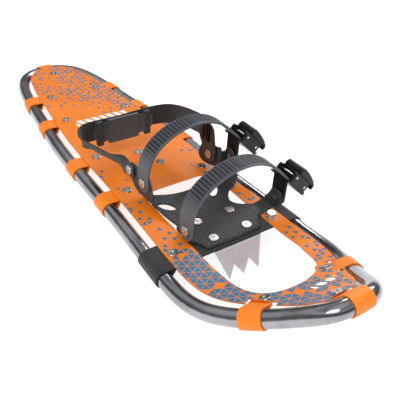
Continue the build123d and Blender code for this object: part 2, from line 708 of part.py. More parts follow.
def strap_pivot_rivets():
    """Rivets that the two strap loops swing on, heads outside the wings."""
    pieces = []
    outside = SIDE_GAP + LADDER_THICK + TOUCH_GAP
    for y, z in (FRONT_AXIS, REAR_AXIS):
        left = Plane(origin=(WING_LEFT_X, y, z), z_dir=(-1, 0, 0))
        right = Plane(origin=(WING_RIGHT_X, y, z), z_dir=(1, 0, 0))
        for plane in (left, right):
            pieces.append(rivet(plane, outside, -HARNESS_THICK))
    return Compound(children=pieces)


HEEL_LUG_GAP = 0.9
HEEL_LUG_RADIUS = 9.0


def heel_pivot_planes():
    return [Plane(origin=spot, z_dir=-HEEL_AXIS) for spot in (HEEL_LEFT, HEEL_RIGHT)]


def heel_pivot_rivets():
    """Rivets that the heel strap swings on, both on the line between its two lugs."""
    outside = HEEL_LUG_GAP + WEB_THICK + HEEL_LUG_GAP
    inside = -HARNESS_THICK - HEEL_LUG_GAP / 2
    return Compound(children=[rivet(plane, outside, inside) for plane in heel_pivot_planes()])


# ---------------------------------------------------------------- strap loops
def loop_points(axis_z):
    """Start of the straight run and its direction, as (X, Z) pairs."""
    turn = radians(LOOP_END_ANGLE)
    start = (LOOP_CENTRE_X + LOOP_RADIUS * cos(turn), axis_z + LOOP_RADIUS * sin(turn))
    return start, (sin(turn), -cos(turn))


def loop_shoulder():
    """Turn of the side arc in degrees, and the radius of the arc that takes over from it."""
    rise = LOOP_RADIUS - LOOP_STRAIGHT
    reach = LOOP_RADIUS - LOOP_SIDE_RADIUS
    top_radius = (reach ** 2 + rise ** 2 - LOOP_SIDE_RADIUS ** 2) / (2 * (rise - LOOP_SIDE_RADIUS))
    return degrees(atan2(top_radius - rise, reach)), top_radius


def ladder_strap(axis):
    """Ribbed strap from its rivet on the left, over the foot and through the buckle."""
    axis_y, axis_z = axis
    start, along = loop_points(axis_z)
    left = LOOP_CENTRE_X - LOOP_RADIUS
    shoulder = (left, axis_z + LOOP_STRAIGHT)
    side_turn, top_radius = loop_shoulder()
    side = JernArc(shoulder, (0, 1), LOOP_SIDE_RADIUS, -side_turn)
    top = JernArc(side @ 1, side % 1, top_radius, side_turn - 90)
    right = CenterArc((LOOP_CENTRE_X, axis_z), LOOP_RADIUS, 90, LOOP_END_ANGLE - 90)
    end = (start[0] + along[0] * LADDER_RUN, start[1] + along[1] * LADDER_RUN)
    line = Curve() + [Line((left, axis_z), shoulder), side, top, right, Line(start, end)]
    strap = along_y(trace(line, line_width=LADDER_THICK), axis_y - LADDER_WIDTH / 2, axis_y + LADDER_WIDTH / 2)
    outer_x = WING_LEFT_X - SIDE_GAP
    strap += rod_x(outer_x - LADDER_THICK, outer_x, axis_y, axis_z, LUG_RADIUS + 1)
    return strap - rod_x(outer_x - 5, outer_x + 1, axis_y, axis_z, HOLE_RADIUS)


def buckle_plane(axis):
    """Local x runs down the strap, local y outward from it, local z towards the toe."""
    start, along = loop_points(axis[1])
    x, z = (value + step * BUCKLE_PLACE for value, step in zip(start, along))
    return Plane(origin=(x, axis[0], z), x_dir=(along[0], 0, along[1]), z_dir=(0, -1, 0))


def across(plane, face, low, high):
    """Extrude a face drawn on the buckle's plane between two widths."""
    return extrude(plane * Pos(0, 0, low) * face, amount=high - low)


def span(x_span, y_span):
    middle = ((x_span[0] + x_span[1]) / 2, (y_span[0] + y_span[1]) / 2)
    return Pos(*middle) * Rectangle(x_span[1] - x_span[0], y_span[1] - y_span[0])


def slab(x_span, y_span, radius):
    return fillet(span(x_span, y_span).vertices(), radius)


def buckle_base(axis):
    """Channel that the strap runs in, with an arm down to its rivet on the wing."""
    plane = buckle_plane(axis)
    axis_y, axis_z = axis
    half = LADDER_THICK / 2 + TOUCH_GAP
    floor = span((BASE_START, BASE_END), (-half - FLOOR_THICK, -half))
    wall = slab(WALL_SPAN, (-half - FLOOR_THICK, WALL_TOP), 2)
    base = across(plane, floor, -BASE_HALF_WIDTH, BASE_HALF_WIDTH)
    for side in (-1, 1):
        inner, outer = sorted((side * WALL_INNER, side * BASE_HALF_WIDTH))
        base += across(plane, wall, inner, outer)
    arm_x = WING_RIGHT_X + SIDE_GAP
    arm = block((arm_x, arm_x + LADDER_THICK), (axis_y - LUG_RADIUS, axis_y + LUG_RADIUS),
                (axis_z, axis_z + ARM_HEIGHT))
    arm += rod_x(arm_x, arm_x + LADDER_THICK, axis_y, axis_z, LUG_RADIUS)
    base += arm - rod_x(arm_x - 1, arm_x + 5, axis_y, axis_z, HOLE_RADIUS)
    for spot in (LEVER_PIVOT, HOLD_PIVOT):
        base -= across(plane, disc(spot, PIN_RADIUS), -20, 20)
    return base


def buckle_pin(axis, spot, half_width):
    return across(buckle_plane(axis), disc(spot, PIN_RADIUS), -half_width, half_width)


def buckle_lever(axis):
    """Lever with two cheeks on the pivot pin and a plate that closes over the pawls."""
    plane = buckle_plane(axis)
    pivot_x, pivot_y = LEVER_PIVOT
    cheek = slab((pivot_x - 3.6, LEVER_END - 6), (HOLD_PIVOT[1] + 2 * PIN_RADIUS, WALL_TOP + 1), 1.6)
    cheek += disc(LEVER_PIVOT, 3.6)
    cheek += slab((DRIVE_PIVOT[0] - 3, DRIVE_PIVOT[0] + 3), (DRIVE_PIVOT[1] - 2.6, WALL_TOP), 1.2)
    plate = slab((pivot_x + 1, LEVER_END), (WALL_TOP - 1.5, WALL_TOP + 2), 1.6)
    lever = across(plane, plate, -WALL_INNER + 0.3, WALL_INNER - 0.3)
    for side in (-1, 1):
        inner, outer = sorted((side * 9.0, side * (WALL_INNER - 0.3)))
        lever += across(plane, cheek, inner, outer)
    lever -= across(plane, disc(LEVER_PIVOT, PIN_HOLE_RADIUS), -20, 20)
    return lever - across(plane, disc(DRIVE_PIVOT, PIN_RADIUS), -20, 20)


def drive_pawl(axis):
    """Pawl on the lever that pushes the strap along."""
    plane = buckle_plane(axis)
    x, y = DRIVE_PIVOT
    nose = polygon([(x - 1, y + 2.2), (x + 6, y - 0.8), (x + 6, 1.8), (x + 4.6, 1.8), (x, y - 2.2)])
    pawl = across(plane, nose + disc(DRIVE_PIVOT, 2.4), -8.6, 8.6)
    return pawl - across(plane, disc(DRIVE_PIVOT, PIN_HOLE_RADIUS), -20, 20)


def holding_pawl(axis):
    """Pawl on the base that keeps the strap from slipping back."""
    plane = buckle_plane(axis)
    x, y = HOLD_PIVOT
    nose = polygon([(x + 1, y + 2.2), (x - 8, y - 0.6), (x - 8, 1.8), (x - 6.4, 1.8), (x, y - 2.2)])
    tab = slab((x, x + 6), (y - 0.4, y + 2.2), 0.6)
    pawl = across(plane, nose + tab + disc(HOLD_PIVOT, 2.4), -7.0, 7.0)
    return pawl - across(plane, disc(HOLD_PIVOT, PIN_HOLE_RADIUS), -20, 20)


def pawl_springs(axis):
    """Coils round the holding pawl's pin, one on each side of the pawl."""
    plane = buckle_plane(axis)
    ring = disc(HOLD_PIVOT, 2.5) - disc(HOLD_PIVOT, PIN_RADIUS + 0.2)
    return Compound(children=[across(plane, ring, 7.2, 8.6), across(plane, ring, -8.6, -7.2)])


# ---------------------------------------------------------------- heel strap
PAD_LEFT_X = -68.0
PAD_RIGHT_X = 26.0
PAD_Y = 200.8
PAD_Z = 57.0
LOCK_SPOT = (63.2, 130.0, 70.0)
# Middle line of the webbing after its lug: left side, round the heel, right side
HEEL_SHAPE = [(-66, 158, 50), (-77, 184, 52.5), (-82, 200, 54), (-80, 211, 55.5), (-70, 216, 56), (-45, 215.5, 56.5),
              (-23, 214, 57), (5, 213.5, 58.5), (28, 211.5, 60), (46, 203, 62.5), (55, 188, 65), (60, 168, 67.5),
              (63, 148, 69)]
WEB_SECTIONS = 40


def heel_path():
    """Middle line of the webbing, from the left lug round the heel to the ladder-lock."""
    lug_x = HEEL_LEFT[0] - HEEL_LUG_GAP - WEB_THICK / 2
    start = (lug_x, HEEL_LEFT[1] + HEEL_LUG_RADIUS, HEEL_LEFT[2] + 1)
    return Spline(start, *HEEL_SHAPE, LOCK_SPOT, tangents=((-0.2, 1, 0), (0, -1, 0)))


def upright_band(path, thick, height):
    """Band that stands upright along a path."""
    sections = []
    for step in range(WEB_SECTIONS + 1):
        point = path @ (step / WEB_SECTIONS)
        along = path % (step / WEB_SECTIONS)
        plane = Plane(origin=point, x_dir=(0, 0, 1), z_dir=(along.X, along.Y, 0))
        sections.append(plane * Rectangle(height, thick))
    return loft(sections)


def heel_webbing():
    band = upright_band(heel_path(), WEB_THICK, WEB_WIDTH)
    x, y, z = HEEL_LEFT
    outer = x - HEEL_LUG_GAP
    lug = rod_x(outer - WEB_THICK, outer, y, z, HEEL_LUG_RADIUS)
    lug += block((outer - WEB_THICK, outer), (y, y + HEEL_LUG_RADIUS + 1),
                 (z - HEEL_LUG_RADIUS, z + HEEL_LUG_RADIUS))
    return band + lug - column(heel_pivot_planes()[0], -1, 5, HOLE_RADIUS)


def heel_pad():
    """Soft pad on the boot's side of the webbing."""
    pad = block((PAD_LEFT_X, PAD_RIGHT_X), (PAD_Y, PAD_Y + PAD_THICK),
                (PAD_Z - PAD_HEIGHT / 2, PAD_Z + PAD_HEIGHT / 2))
    return fillet(pad.edges(), PAD_THICK * 0.4)


def heel_connector():
    """Plastic lug from the right ear up to the ladder-lock."""
    x, y, z = HEEL_RIGHT
    outer = x - HEEL_LUG_GAP
    top_y, top_z = LOCK_SPOT[1] - 4, LOCK_SPOT[2] + 2
    face = disc((y, z), HEEL_LUG_RADIUS) + polygon([(y - 8, z + 4), (y + 8, z - 4), (top_y + 10, top_z - 5),
                                                    (top_y - 10, top_z + 5)])
    return along_x(face, outer - WEB_THICK, outer) - column(heel_pivot_planes()[1], -1, 5, HOLE_RADIUS)


def ladder_lock():
    """Plastic slide that joins the webbing to the lug."""
    x, y, z = LOCK_SPOT
    inner = HEEL_RIGHT[0] - HEEL_LUG_GAP - WEB_THICK - LOCK_GAP
    frame = block((inner - LOCK_THICK, inner), (y - 12, y + 4), (z - 14, z + 16))
    for offset_y in (-8.5, -1.5):
        slot = block((inner - 5, inner + 1), (y + offset_y - 1.5, y + offset_y + 1.5), (z - 11, z + 13))
        frame -= slot
    return frame


# ---------------------------------------------------------------- write every node
def main():
    os.makedirs("parts", exist_ok=True)
    save(frame_tube(), "frame_tube")
    save(tail_sleeve(), "tail_sleeve")
    save(splice_rivets(), "splice_rivets")
    save(deck(), "deck")
    save(deck_wraps(), "deck_wraps")
    rivets, washers = wrap_hardware()
    save(rivets, "wrap_rivets")
    save(washers, "wrap_washers")
    save(pivot_strap_side(), "pivot_strap_right")
    save(pivot_strap_left(), "pivot_strap_left")
    save(pivot_strap_center(), "pivot_strap_center")
    rivets, washers = pivot_hardware()
    save(rivets, "pivot_rivets")
    save(washers, "pivot_washers")
    save(heel_crampon(), "heel_crampon")
    save(heel_crampon_rivets(), "heel_crampon_rivets")
    save(harness(), "harness")
    save(toe_crampon(), "toe_crampon")
    save(toe_plate_rivets(), "toe_plate_rivets")
    save(strap_pivot_rivets(), "strap_pivot_rivets")
    save(heel_pivot_rivets(), "heel_pivot_rivets")
    for name, axis in (("front", FRONT_AXIS), ("rear", REAR_AXIS)):
        save(ladder_strap(axis), f"{name}_ladder_strap")
        save(buckle_base(axis), f"{name}_buckle_base")
        save(buckle_lever(axis), f"{name}_buckle_lever")
        save(buckle_pin(axis, LEVER_PIVOT, BASE_HALF_WIDTH), f"{name}_lever_pin")
        save(buckle_pin(axis, HOLD_PIVOT, BASE_HALF_WIDTH), f"{name}_holding_pawl_pin")
        save(buckle_pin(axis, DRIVE_PIVOT, WALL_INNER - 0.3), f"{name}_drive_pawl_pin")
        save(drive_pawl(axis), f"{name}_drive_pawl")
        save(holding_pawl(axis), f"{name}_holding_pawl")
        save(pawl_springs(axis), f"{name}_pawl_springs")
    save(heel_webbing(), "heel_webbing")
    save(heel_pad(), "heel_pad")
    save(heel_connector(), "heel_connector")
    save(ladder_lock(), "heel_ladder_lock")


main()
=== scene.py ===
import json
import math

import bmesh
import bpy
import numpy as np
from mathutils import Matrix, Vector


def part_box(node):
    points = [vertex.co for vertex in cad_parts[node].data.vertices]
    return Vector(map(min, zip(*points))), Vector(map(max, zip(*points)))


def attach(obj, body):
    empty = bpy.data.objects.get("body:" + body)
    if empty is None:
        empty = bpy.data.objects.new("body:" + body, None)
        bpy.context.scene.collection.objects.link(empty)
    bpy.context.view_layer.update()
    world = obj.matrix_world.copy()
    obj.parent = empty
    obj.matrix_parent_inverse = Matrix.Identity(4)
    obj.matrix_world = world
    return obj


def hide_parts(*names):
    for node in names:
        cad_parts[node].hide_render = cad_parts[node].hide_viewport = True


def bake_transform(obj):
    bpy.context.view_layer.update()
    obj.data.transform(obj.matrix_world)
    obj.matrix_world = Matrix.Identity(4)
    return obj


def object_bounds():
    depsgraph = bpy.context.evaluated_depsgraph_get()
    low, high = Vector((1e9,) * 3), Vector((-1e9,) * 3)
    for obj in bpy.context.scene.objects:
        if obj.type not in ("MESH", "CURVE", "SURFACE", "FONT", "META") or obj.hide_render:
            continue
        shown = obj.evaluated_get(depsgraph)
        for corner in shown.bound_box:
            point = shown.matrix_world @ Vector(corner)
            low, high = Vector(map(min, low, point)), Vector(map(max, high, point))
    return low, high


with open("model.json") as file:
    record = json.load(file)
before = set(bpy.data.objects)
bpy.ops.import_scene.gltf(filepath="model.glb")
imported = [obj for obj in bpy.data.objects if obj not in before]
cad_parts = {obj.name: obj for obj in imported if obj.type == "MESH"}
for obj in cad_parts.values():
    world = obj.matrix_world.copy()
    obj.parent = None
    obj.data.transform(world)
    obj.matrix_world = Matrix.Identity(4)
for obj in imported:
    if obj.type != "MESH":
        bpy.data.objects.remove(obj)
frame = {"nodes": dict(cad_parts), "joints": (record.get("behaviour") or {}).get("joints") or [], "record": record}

CAD_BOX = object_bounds()
MM = 0.001
scene = bpy.context.scene
JOINT = {j["name"]: j for j in frame["joints"]}
# Shapes here are drawn in mm from a point between the side tubes, on their centre plane.
# This is where the frame's origin, the top of the tread pad, lies from there
ORIGIN = np.array([4.0, 60.0, 17.0])

# Ladder straps, in mm along and across the strap
RIB_PITCH = 4.6
RIB_START = 46.0
LADDER_HALF_WIDTH = 12.0
LADDER_HALF_THICK = 1.5
LADDER_RUN = 70.0
LADDER_STEP = 0.6
# Pivot webbing: level of its middle over the tube's centre plane, and half its width
PIVOT_LEVEL = 10.4
PIVOT_HALF_WIDTH = 21.0
# Foot harness: underside, sheet thickness and fold radius
HARNESS_LOW = 13.2
HARNESS_THICK = 3.0
HARNESS_BEND = 15.5
PLATE_MIDDLE_X = 4.0
BEAD_PITCH = 3.0
BEAD_REACH = 9.5
LEAN_DEGREES = -38.0
CUSHION_FRAMES = 20


# ---------------------------------------------------------------- places
def box_of(node):
    """A CAD node's lowest and highest corners in drawing millimetres."""
    return [np.array(v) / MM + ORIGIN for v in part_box(node)]


def axis_of(joint):
    return np.array(JOINT[joint]["pos_m"]) / MM + ORIGIN


def placed(*spot):
    """Frame metres from drawing millimetres."""
    return tuple(float(v) for v in (np.array(spot) - ORIGIN) * MM)


def read_points(obj):
    """A mesh's points in drawing millimetres."""
    return np.array([v.co for v in obj.data.vertices]) / MM + ORIGIN


def write_points(obj, points):
    for vertex, spot in zip(obj.data.vertices, (points - ORIGIN) * MM):
        vertex.co = spot


# ---------------------------------------------------------------- node helpers
class Shader:
    """A material with a Principled shader and short calls for the nodes it uses."""

    def __init__(self, name):
        self.material = bpy.data.materials.new(name)
        self.material.use_nodes = True
        self.tree = self.material.node_tree
        self.bsdf = self.tree.nodes["Principled BSDF"]
        self.place = self.tree.nodes.new("ShaderNodeTexCoord")
        self.drawn = self.node("VectorMath", self.place.outputs["Object"], tuple(ORIGIN * MM), operation="ADD")

    def put(self, target, value):
        if isinstance(value, bpy.types.NodeSocket):
            self.tree.links.new(value, target)
        else:
            target.default_value = value

    def set(self, **inputs):
        for name, value in inputs.items():
            self.put(self.bsdf.inputs[name.replace("_", " ")], value)
        return self

    def node(self, kind, *values, **settings):
        node = self.tree.nodes.new("ShaderNode" + kind)
        for key, value in settings.items():
            setattr(node, key, value)
        for index, value in enumerate(values):
            if value is not None:
                self.put(node.inputs[index], value)
        return node

    def math(self, operation, *values):
        return self.node("Math", *values, operation=operation).outputs[0]

    def spot(self):
        return self.drawn.outputs[0]

    def scaled(self, factors, vector=None):
        return self.node("VectorMath", vector or self.spot(), factors, operation="MULTIPLY").outputs[0]

    def noise(self, scale, detail=2.0, vector=None, rough=0.5):
        return self.node("TexNoise", vector or self.spot(), None, scale, detail, rough).outputs[0]

    def ramp(self, value, low, high, out_low=0.0, out_high=1.0, smooth=True):
        kind = "SMOOTHSTEP" if smooth else "LINEAR"
        return self.node("MapRange", value, low, high, out_low, out_high, interpolation_type=kind).outputs[0]

    def mix(self, share, first, second):
        node = self.tree.nodes.new("ShaderNodeMix")
        node.data_type = "RGBA"
        self.put(node.inputs[0], share)
        self.put(node.inputs[6], first)
        self.put(node.inputs[7], second)
        return node.outputs[2]

    def bump(self, height, strength=0.3, distance=0.0005):
        node = self.tree.nodes.new("ShaderNodeBump")
        self.put(node.inputs["Strength"], strength)
        self.put(node.inputs["Distance"], distance)
        self.put(node.inputs["Height"], height)
        self.put(self.bsdf.inputs["Normal"], node.outputs[0])
        return self

    def painted_edge_highlight(self, radius=0.0008):
        """Mask for a painted highlight: 0 on flat parts, rising to 1 along sharp edges."""
        bevel = self.node("Bevel", radius)
        bevel.samples = 4
        flat = self.tree.nodes.new("ShaderNodeNewGeometry").outputs["Normal"]
        dot = self.node("VectorMath", bevel.outputs[0], flat, operation="DOT_PRODUCT").outputs["Value"]
        return self.ramp(dot, 0.995, 0.9)


def rgb(red, green, blue):
    """Linear colour from 0-255 display values."""
    linear = []
    for value in (red, green, blue):
        share = value / 255
        linear.append(share / 12.92 if value <= 10 else ((share + 0.055) / 1.055) ** 2.4)
    return (*linear, 1)


# ---------------------------------------------------------------- materials
def tube_metal():
    s = Shader("gunmetal_tube")
    streak = s.noise(1.0, 3, s.scaled((900, 40, 900)))
    smudge = s.noise(28, 3)
    color = s.mix(s.ramp(smudge, 0.35, 0.7), rgb(150, 150, 155), rgb(176, 176, 180))
    s.set(Base_Color=color, Metallic=1.0, Roughness=s.ramp(smudge, 0.3, 0.75, 0.15, 0.26))
    return s.bump(streak, 0.05, 0.0002).material


def nickel():
    s = Shader("nickel")
    smudge = s.noise(240, 3)
    s.set(Base_Color=s.mix(smudge, rgb(176, 171, 164), rgb(214, 209, 202)), Metallic=1.0,
          Roughness=s.ramp(smudge, 0.3, 0.7, 0.18, 0.36))
    return s.bump(s.noise(900, 2), 0.12, 0.0002).material


def pin_steel():
    s = Shader("pin_steel")
    s.set(Base_Color=rgb(205, 205, 208), Metallic=1.0, Roughness=s.ramp(s.noise(300), 0.3, 0.7, 0.14, 0.3))
    return s.bump(s.noise(1.0, 2, s.scaled((1500, 60, 1500))), 0.08, 0.0002).material


def triangle_cells(s, side, vector):
    """(distance from the nearest edge, random value) on a grid of triangles with that side, in metres."""
    split = s.node("SeparateXYZ", vector)
    rise = s.math("DIVIDE", split.outputs[0], side * math.sqrt(3) / 2)
    along = s.math("SUBTRACT", s.math("DIVIDE", split.outputs[1], side), s.math("MULTIPLY", rise, 0.5))
    cell_u, cell_v = s.math("FLOOR", along), s.math("FLOOR", rise)
    part_u, part_v = s.math("FRACT", along), s.math("FRACT", rise)
    upper = s.math("GREATER_THAN", s.math("ADD", part_u, part_v), 1.0)
    flip_u = s.math("ABSOLUTE", s.math("SUBTRACT", upper, part_u))
    flip_v = s.math("ABSOLUTE", s.math("SUBTRACT", upper, part_v))
    rest = s.math("SUBTRACT", 1.0, s.math("ADD", flip_u, flip_v))
    nearest = s.math("MINIMUM", s.math("MINIMUM", flip_u, flip_v), rest)
    label = s.node("CombineXYZ", cell_u, cell_v, upper).outputs[0]
    random = s.node("TexWhiteNoise", label, noise_dimensions="3D").outputs["Value"]
    return s.math("MULTIPLY", nearest, side * math.sqrt(3) / 2), random


def bump_field(s, value, centre, half, soft):
    """1 within half of centre, fading to 0 over soft."""
    away = s.math("ABSOLUTE", s.math("SUBTRACT", value, centre))
    return s.ramp(away, half + soft, half)


def deck_plastic():
    """Orange sheet printed with a scatter of small blue triangles."""
    s = Shader("deck_plastic")
    split = s.node("SeparateXYZ", s.spot())
    x, y = split.outputs[0], split.outputs[1]
    toe = s.ramp(y, -0.045, -0.10)
    toe_left = s.math("MULTIPLY", toe, s.ramp(x, 0.045, 0.0, 0.4, 0.8))
    rail = s.math("MULTIPLY", s.ramp(x, -0.04, -0.05), s.ramp(y, 0.035, -0.035, 0.0, 0.85))
    sides = s.math("MULTIPLY", s.ramp(s.math("ABSOLUTE", x), 0.045, 0.05), s.ramp(y, 0.20, 0.09, 0.0, 0.3))
    tail_reach = s.math("ADD", y, s.math("MULTIPLY", x, 0.9))
    tail = s.math("MULTIPLY", s.ramp(tail_reach, 0.33, 0.42), s.ramp(x, -0.06, 0.04, 0.3, 0.7))
    near = s.math("MAXIMUM", s.math("MAXIMUM", toe_left, rail), sides)
    big_edge, big_random = triangle_cells(s, 0.0115, s.spot())
    small_edge, small_random = triangle_cells(s, 0.0098, s.spot())
    big_gap = s.ramp(near, 0.25, 0.9, 0.0012, 0.00035)
    big = s.math("MULTIPLY", s.math("GREATER_THAN", big_edge, big_gap), s.math("LESS_THAN", big_random, near))
    small = s.math("MULTIPLY", s.math("GREATER_THAN", small_edge, 0.0009), s.math("LESS_THAN", small_random, tail))
    printed = s.math("MAXIMUM", big, small)
    plain = s.noise(35, 3)
    orange = s.mix(plain, rgb(216, 108, 14), rgb(230, 126, 24))
    blue = s.mix(s.node("TexWhiteNoise", s.scaled((90, 90, 0))).outputs["Value"], rgb(0, 94, 128), rgb(14, 118, 150))
    facing = s.node("SeparateXYZ", s.tree.nodes.new("ShaderNodeNewGeometry").outputs["True Normal"]).outputs[2]
    above = s.math("GREATER_THAN", facing, 0.1)
    color = s.mix(s.math("MULTIPLY", printed, s.math("MULTIPLY", above, 0.95)), orange, blue)
    mark = s.math("MAXIMUM", chevrons(s, x, y, 0.0, 0.318, 0.042), chevrons(s, x, y, 0.014, -0.146, 0.016))
    mark = s.math("MULTIPLY", mark, above)
    s.set(Base_Color=s.mix(mark, color, rgb(245, 240, 236)), Roughness=s.ramp(plain, 0.3, 0.7, 0.34, 0.46),
          Specular_IOR_Level=0.45)
    return s.bump(s.noise(600, 2), 0.05, 0.0002).material


def chevrons(s, x, y, centre_x, centre_y, half):
    """Plain slanted white bars printed across the deck, in place of any lettering."""
    band = bump_field(s, y, centre_y, half * 0.2, 0.0004)
    reach = bump_field(s, x, centre_x, half, 0.0004)
    slant = s.math("FRACT", s.math("DIVIDE", s.math("ADD", x, s.math("MULTIPLY", y, 0.45)), 0.012))
    return s.math("MULTIPLY", s.math("MULTIPLY", band, reach), s.math("LESS_THAN", slant, 0.62))


def wrap_plastic():
    s = Shader("wrap_plastic")
    plain = s.noise(40, 3)
    s.set(Base_Color=s.mix(plain, rgb(224, 112, 12), rgb(238, 130, 22)), Roughness=s.ramp(plain, 0.3, 0.7, 0.4, 0.52),
          Specular_IOR_Level=0.4)
    return s.bump(s.noise(700, 3), 0.12, 0.0002).material


def stamped_steel():
    s = Shader("stamped_steel")
    brushed = s.noise(1.0, 3, s.scaled((60, 60, 1400)))
    blotch = s.noise(60, 3)
    s.set(Base_Color=s.mix(blotch, rgb(186, 180, 188), rgb(222, 216, 222)), Metallic=0.85,
          Roughness=s.ramp(brushed, 0.3, 0.7, 0.34, 0.5))
    return s.bump(brushed, 0.15, 0.0002).material


def moulded_rubber():
    """Charcoal moulding with a fine grain, rows of small pits painted darker as shade, and paler edges painted as a
    highlight.
    """
    s = Shader("harness_rubber")
    grain = s.noise(850, 3)
    cells = s.node("TexVoronoi", s.scaled((1, 1, 0)), None, 210.0, feature="F1")
    cells.inputs["Randomness"].default_value = 0.15
    pit_and_shade = s.ramp(cells.outputs["Distance"], 0.2, 0.3)
    edge_highlight = s.painted_edge_highlight(0.0009)
    base = s.mix(s.noise(70, 3), rgb(40, 41, 43), rgb(60, 61, 63))
    # The pits are painted near-black as painted shade in the recesses; the same mask also drives their bump.
    dark = s.mix(pit_and_shade, rgb(22, 22, 23), base)
    # Sharp edges are painted paler as a painted highlight.
    s.set(Base_Color=s.mix(s.math("MULTIPLY", edge_highlight, 0.5), dark, rgb(96, 96, 98)),
          Roughness=s.ramp(grain, 0.3, 0.7, 0.42, 0.6), Specular_IOR_Level=0.45)
    height = s.math("ADD", s.math("MULTIPLY", grain, 0.35), pit_and_shade)
    return s.bump(height, 0.5, 0.0006).material


def ladder_plastic():
    s = Shader("ladder_plastic")
    grain = s.noise(700, 3)
    edge_highlight = s.painted_edge_highlight(0.0006)
    base = s.mix(s.noise(60), rgb(58, 60, 67), rgb(76, 78, 86))
    split = s.node("SeparateXYZ", s.place.outputs["UV"])
    across, run = s.math("ABSOLUTE", split.outputs[0]), split.outputs[1]
    phase = s.math("FRACT", s.math("DIVIDE", s.math("SUBTRACT", run, RIB_START * MM), RIB_PITCH * MM))
    # Painted shade: the grooves between the ribs, which the strap's shape already has, are coloured near-black.
    groove_painted_shade = s.math("MULTIPLY", s.ramp(phase, 0.2, 0.34), s.ramp(phase, 0.86, 0.76))
    groove_painted_shade = s.math("MULTIPLY", groove_painted_shade, s.ramp(run, (RIB_START + 2) * MM, (RIB_START + 14) * MM))
    groove_painted_shade = s.math("MULTIPLY", groove_painted_shade, s.ramp(across, 0.0104, 0.0098))
    base = s.mix(groove_painted_shade, base, rgb(20, 20, 23))
    # Sharp edges are painted paler as a painted highlight.
    s.set(Base_Color=s.mix(s.math("MULTIPLY", edge_highlight, 0.4), base, rgb(120, 122, 130)),
          Roughness=s.ramp(grain, 0.3, 0.7, 0.36, 0.5), Specular_IOR_Level=0.5)
    return s.bump(grain, 0.12, 0.0002).material


def buckle_plastic():
    s = Shader("buckle_plastic")
    smudge = s.noise(90, 3)
    grip = s.ramp(s.math("SINE", s.math("MULTIPLY", s.node("SeparateXYZ", s.spot()).outputs[2], 1900)), -0.2, 0.3)
    s.set(Base_Color=s.mix(smudge, rgb(13, 12, 12), rgb(30, 26, 24)), Roughness=s.ramp(smudge, 0.3, 0.7, 0.2, 0.36),
          Specular_IOR_Level=0.22)
    return s.bump(s.math("ADD", grip, s.math("MULTIPLY", s.noise(500, 2), 0.3)), 0.35, 0.0006).material


def weave(name, dark, light, pitch=0.0011, ridge=0.0, sheen=0.25):
    """Plain weave in strap coordinates: U runs across the strap and V along it, both in metres."""
    s = Shader(name)
    split = s.node("SeparateXYZ", s.place.outputs["UV"])
    turn = 2 * math.pi / pitch
    over = s.math("SINE", s.math("MULTIPLY", split.outputs[0], turn))
    under = s.math("SINE", s.math("MULTIPLY", split.outputs[1], turn))
    thread = s.math("MULTIPLY", over, under)
    ribs = s.math("SINE", s.math("MULTIPLY", split.outputs[0], turn / 3))
    height = s.math("ADD", thread, s.math("MULTIPLY", ribs, ridge))
    fuzz = s.noise(900, 3)
    shade = s.math("ADD", s.ramp(height, -1.0, 1.0, 0.0, 0.75), s.math("MULTIPLY", fuzz, 0.35))
    s.set(Base_Color=s.mix(shade, dark, light), Roughness=0.82, Sheen_Weight=sheen, Sheen_Roughness=0.5,
          Specular_IOR_Level=0.25)
    return s.bump(s.math("ADD", height, s.math("MULTIPLY", fuzz, 0.6)), 0.55, 0.0004).material


def pad_fabric():
    """Dark napped fabric over foam, with a knit too fine to need strap coordinates."""
    s = Shader("pad_fabric")
    fuzz = s.noise(1100, 4)
    knit = s.node("TexVoronoi", s.spot(), None, 900.0).outputs["Distance"]
    shade = s.math("ADD", s.math("MULTIPLY", fuzz, 0.7), s.math("MULTIPLY", knit, 0.4))
    s.set(Base_Color=s.mix(shade, rgb(14, 11, 10), rgb(46, 39, 36)), Roughness=0.92, Sheen_Weight=0.45,
          Sheen_Roughness=0.6, Specular_IOR_Level=0.2)
    return s.bump(shade, 0.6, 0.0006).material


FINISH = {
    "tube": tube_metal(),
    "nickel": nickel(),
    "pin_steel": pin_steel(),
    "deck_plastic": deck_plastic(),
    "wrap_plastic": wrap_plastic(),
    "stamped_steel": stamped_steel(),
    "harness_rubber": moulded_rubber(),
    "ladder_plastic": ladder_plastic(),
    "buckle_plastic": buckle_plastic(),
    "webbing": weave("heel_webbing", rgb(12, 12, 12), rgb(50, 50, 50)),
    "pivot_webbing": weave("pivot_webbing", rgb(10, 10, 10), rgb(44, 44, 45), 0.0013, 0.35),
    "pad_fabric": pad_fabric(),
}

# Width in mm of the rounding on the sharp edges of moulded and stamped nodes
BEVEL = {"deck_wraps": 0.35, "deck": 0.3, "toe_crampon": 0.4, "heel_crampon": 0.4, "heel_ladder_lock": 0.4}
for end in ("front", "rear"):
    BEVEL.update({f"{end}_buckle_base": 0.6, f"{end}_buckle_lever": 0.6, f"{end}_drive_pawl": 0.3,
                  f"{end}_holding_pawl": 0.3})

for part in frame["record"]["subparts"]:
    node = frame["nodes"][part["node"]]
    node.data.materials.clear()
    node.data.materials.append(FINISH[part["material_slot"]])
    if part["node"] in BEVEL:
        bevel = node.modifiers.new("edges", "BEVEL")
        bevel.width = BEVEL[part["node"]] * MM
        bevel.segments = 3
        bevel.limit_method = "ANGLE"
        bevel.angle_limit = math.radians(40)
        bevel.harden_normals = True


# ---------------------------------------------------------------- mesh helpers
def all_smooth(obj):
    for polygon in obj.data.polygons:
        polygon.use_smooth = True


